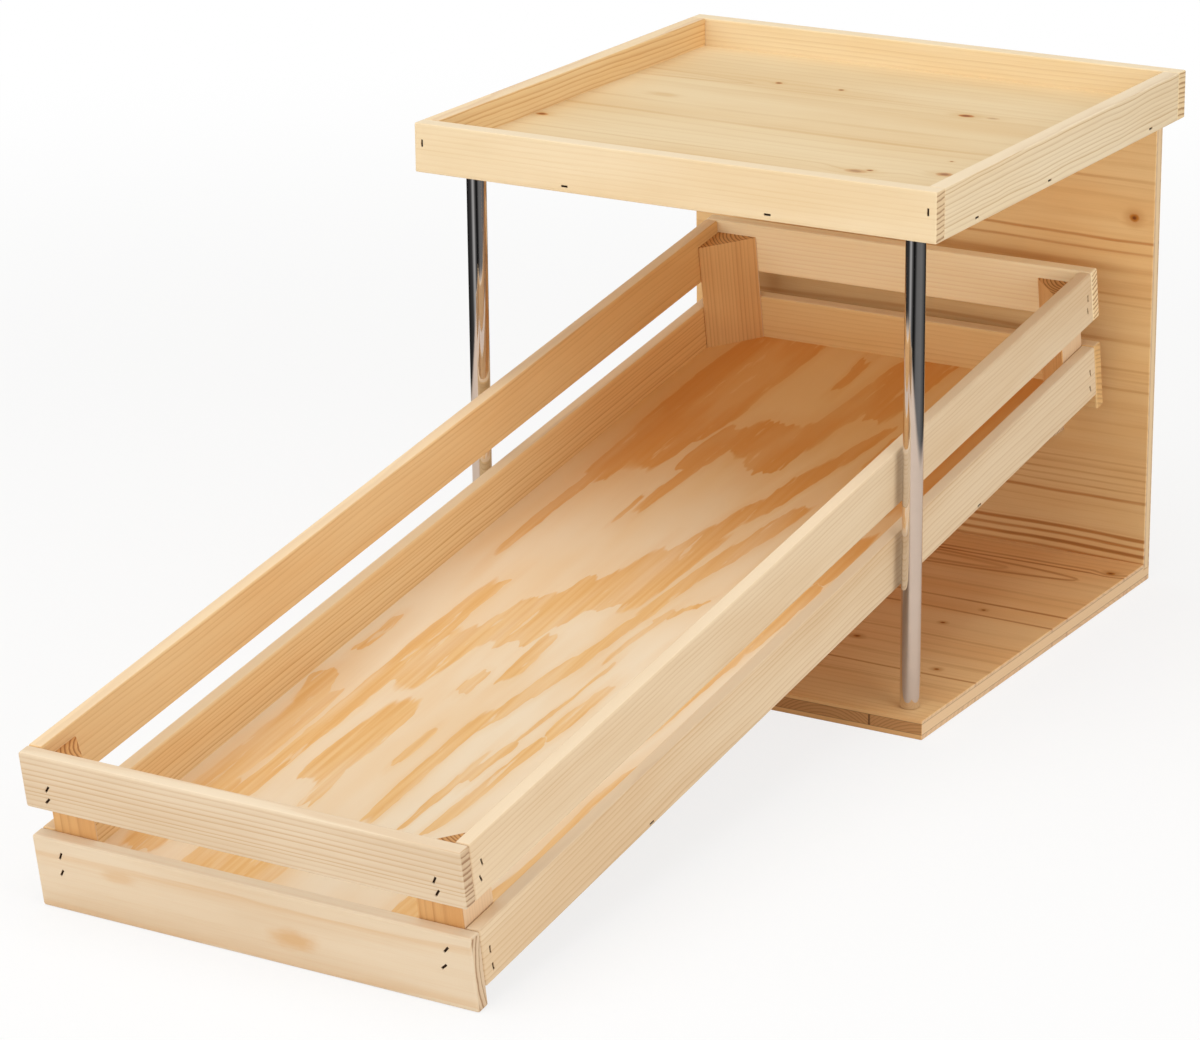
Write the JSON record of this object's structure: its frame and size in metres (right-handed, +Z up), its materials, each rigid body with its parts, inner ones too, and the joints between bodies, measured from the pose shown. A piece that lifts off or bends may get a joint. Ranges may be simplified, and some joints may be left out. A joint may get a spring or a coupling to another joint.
{
  "type": "wooden fruit feeder",
  "caption": "Pine fruit feeder: a long slatted crate lies at a slope in the open bay of a stand, under a shallow tray carried by chrome rods and a tall back board.",
  "frame": {"origin": "middle of the footprint of the whole piece, on the table", "axes": "+X across to the right, +Y to the back board, +Z up; the crate slopes down towards -Y"},
  "size_m": [0.46, 1.0484, 0.441],
  "materials": {
    "pine_board": "sanded three-layer pine board",
    "pine_rim": "sanded pine lath, pale",
    "pine_slat": "planed pine slat with fine straight grain",
    "plywood": "peeled softwood plywood",
    "dowel_wood": "plain beech",
    "chrome_rod": "polished chrome",
    "nail_steel": "dull steel wire",
    "screw_steel": "zinc plated"
  },
  "bodies": {
    "stand": {"base_board": "pine_board", "back_board": "pine_board", "tray_floor": "pine_board", "tray_rim_front": "pine_rim", "tray_rim_rear": "pine_rim", "tray_rim_left": "pine_rim", "tray_rim_right": "pine_rim", "rear_cleat": "pine_slat", "rod_left": "chrome_rod", "rod_right": "chrome_rod", "tray_nails_front": "nail_steel", "tray_nails_rear": "nail_steel", "tray_nails_left": "nail_steel", "tray_nails_right": "nail_steel", "rod_screws_lower": "screw_steel", "rod_screws_upper": "screw_steel", "back_board_screws": "screw_steel", "cleat_screws": "screw_steel", "back_board_dowels": "dowel_wood"},
    "crate": {"crate_upper_slat_front": "pine_slat", "crate_upper_slat_rear": "pine_slat", "crate_upper_slat_left": "pine_slat", "crate_upper_slat_right": "pine_slat", "crate_lower_slat_front": "pine_slat", "crate_lower_slat_rear": "pine_slat", "crate_lower_slat_left": "pine_slat", "crate_lower_slat_right": "pine_slat", "crate_post_front_left": "pine_slat", "crate_post_front_right": "pine_slat", "crate_post_rear_left": "pine_slat", "crate_post_rear_right": "pine_slat", "crate_bottom": "plywood", "crate_nails_front": "nail_steel", "crate_nails_rear": "nail_steel", "crate_nails_left": "nail_steel", "crate_nails_right": "nail_steel"}
  },
  "joints": [
    {"name": "crate_pull_out", "type": "slide", "parent": "stand", "child": "crate", "axis": [0, -1, 0], "range_m": [0, 0.45]}
  ]
}
